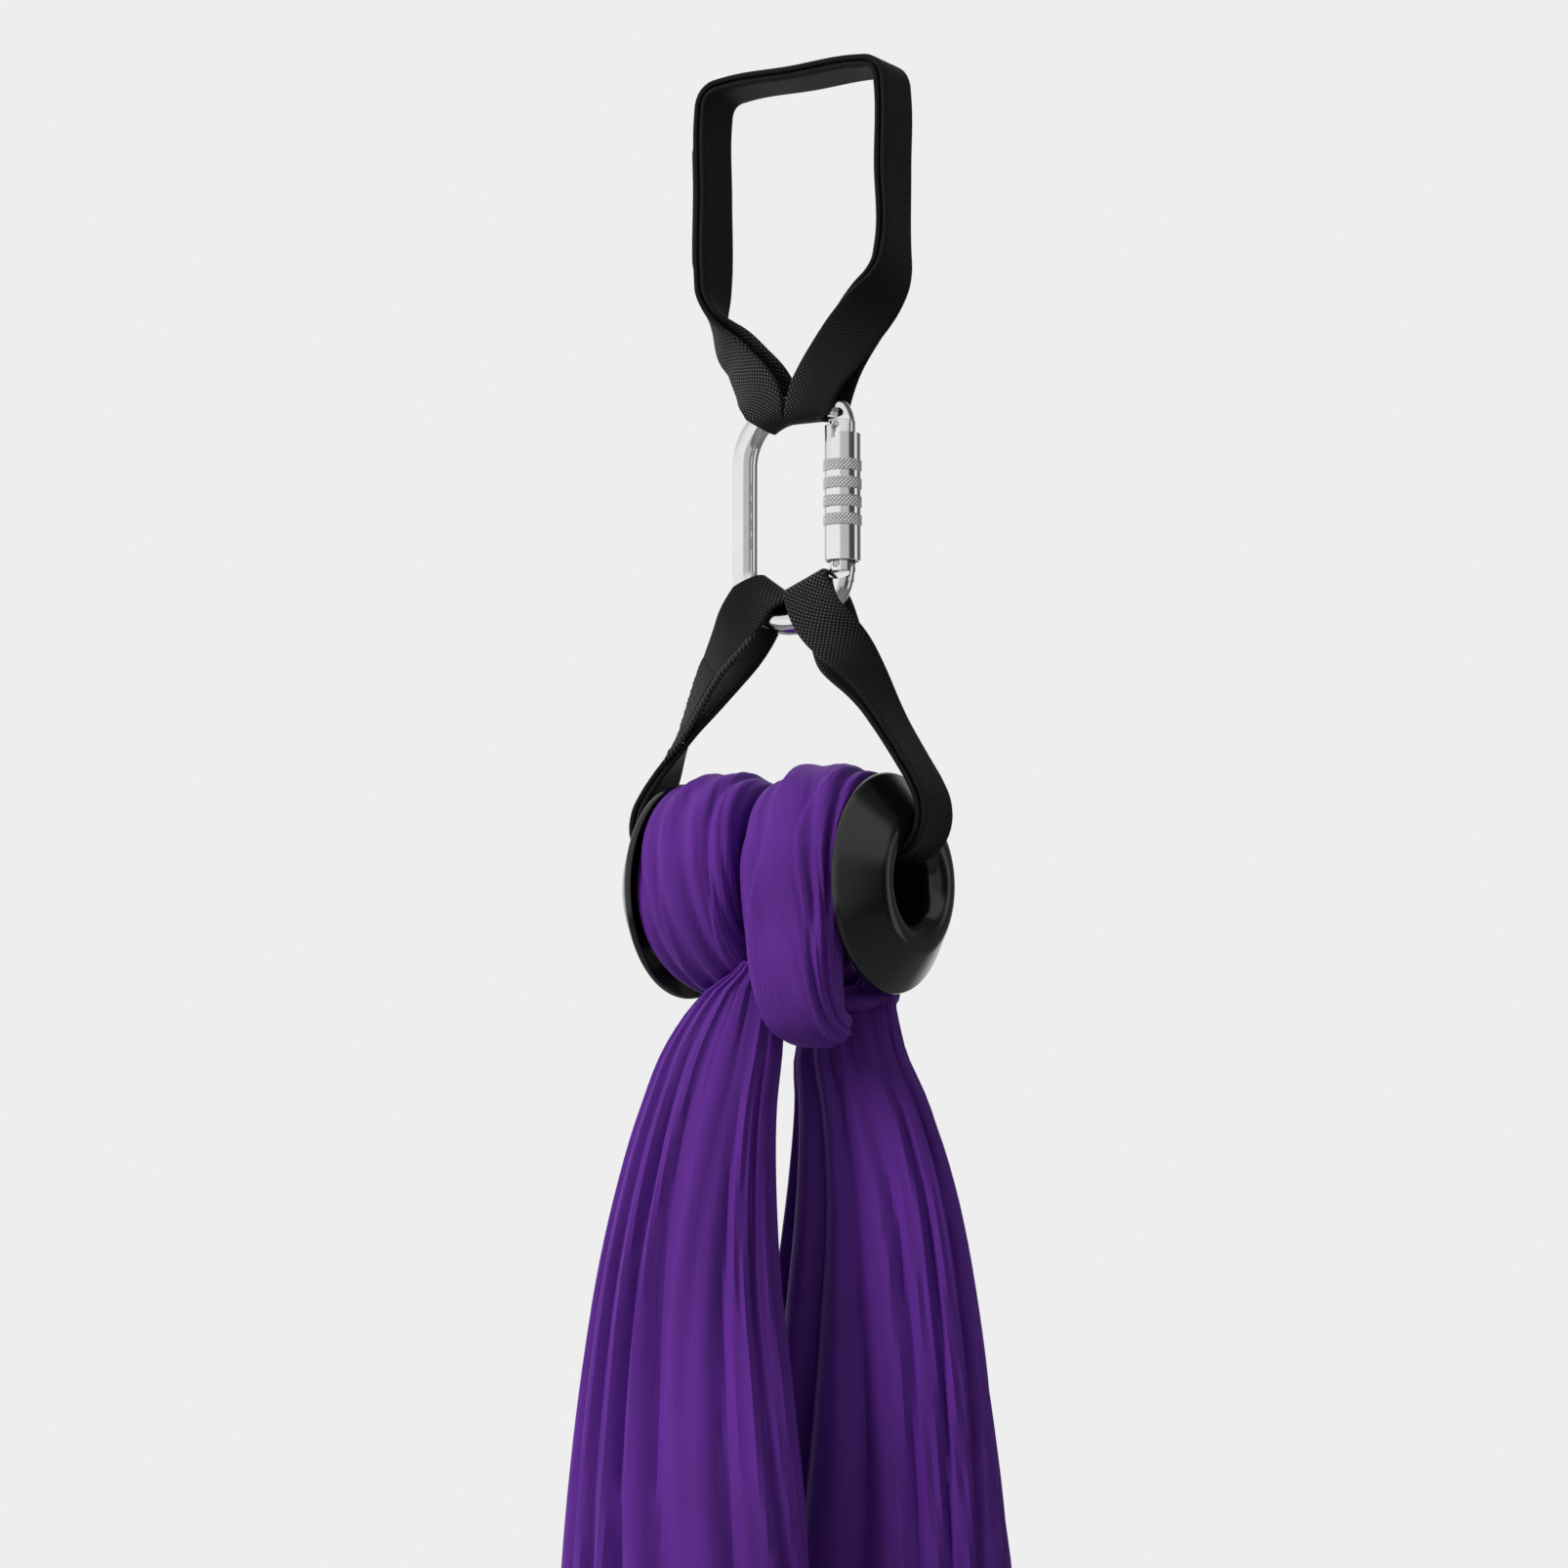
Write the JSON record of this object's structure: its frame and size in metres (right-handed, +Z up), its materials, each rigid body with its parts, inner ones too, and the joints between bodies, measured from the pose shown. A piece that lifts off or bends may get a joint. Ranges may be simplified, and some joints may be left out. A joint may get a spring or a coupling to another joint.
{
  "type": "aerial silks",
  "caption": "Purple aerial silks: one long fabric hitched round a flanged black spool, hung by webbing slings and a twist-lock carabiner from a support.",
  "frame": {"origin": "middle of the face with which the upper sling rests on its support", "axes": "+Z up, along the hanging line; +X along the spool, towards the carabiner's gate; -Y is the pictured front"},
  "size_m": [0.2572, 0.1752, 2.2631],
  "materials": {
    "black_webbing": "flat woven webbing",
    "polished_steel": "polished, knurled bands on the sleeve",
    "pin_steel": "plain turned steel",
    "gloss_black": "gloss black",
    "purple_silk": "soft low-stretch fabric with a slight sheen"
  },
  "bodies": {
    "upper_sling": {"upper_sling": "black_webbing", "upper_sling_splice": "black_webbing"},
    "carabiner": {"carabiner_body": "polished_steel", "gate_rivet": "pin_steel"},
    "gate": {"gate_arm": "polished_steel", "latch_pin": "pin_steel", "sleeve_guide_pin": "pin_steel", "sleeve_retaining_ring": "pin_steel", "sleeve_spring": "pin_steel", "gate_spring": "pin_steel", "gate_plunger": "pin_steel"},
    "sleeve": {"lock_sleeve": "polished_steel"},
    "lower_sling": {"lower_sling": "black_webbing", "lower_sling_splice": "black_webbing"},
    "spool": {"spool_core": "gloss_black", "spool_flange_left": "gloss_black", "spool_flange_right": "gloss_black", "silk_wrap": "purple_silk"},
    "tail_front": {"silk_tail_front": "purple_silk"},
    "tail_back": {"silk_tail_back": "purple_silk"}
  },
  "joints": [
    {"name": "carabiner_swing", "type": "hinge", "parent": "upper_sling", "child": "carabiner", "pos_m": [-0.0045, 0, -0.1539], "axis": [1, 0, 0], "range_deg": [-8, 8]},
    {"name": "gate_open", "type": "hinge", "parent": "carabiner", "child": "gate", "pos_m": [0.0215, 0, -0.223], "axis": [0, -1, 0], "range_deg": [0, 20], "stiffness_Nm_per_rad": 0.5, "springref_deg": -22.92},
    {"name": "sleeve_twist", "type": "hinge", "parent": "gate", "child": "sleeve", "pos_m": [0.0215, 0, -0.2216], "axis": [0, 0, 1], "range_deg": [0, 90]},
    {"name": "lower_sling_swing", "type": "hinge", "parent": "carabiner", "child": "lower_sling", "pos_m": [-0.0045, 0, -0.2416], "axis": [1, 0, 0], "range_deg": [-8, 8]},
    {"name": "spool_roll", "type": "hinge", "parent": "lower_sling", "child": "spool", "pos_m": [-0.0075, 0, -0.367], "axis": [1, 0, 0], "range_deg": [-30, 30]},
    {"name": "tail_front_swing", "type": "hinge", "parent": "spool", "child": "tail_front", "pos_m": [-0.0075, -0.018, -0.4169], "axis": [-1, 0, 0], "range_deg": [0, 20]},
    {"name": "tail_back_swing", "type": "hinge", "parent": "spool", "child": "tail_back", "pos_m": [-0.0075, 0.018, -0.416], "axis": [1, 0, 0], "range_deg": [0, 20]}
  ]
}
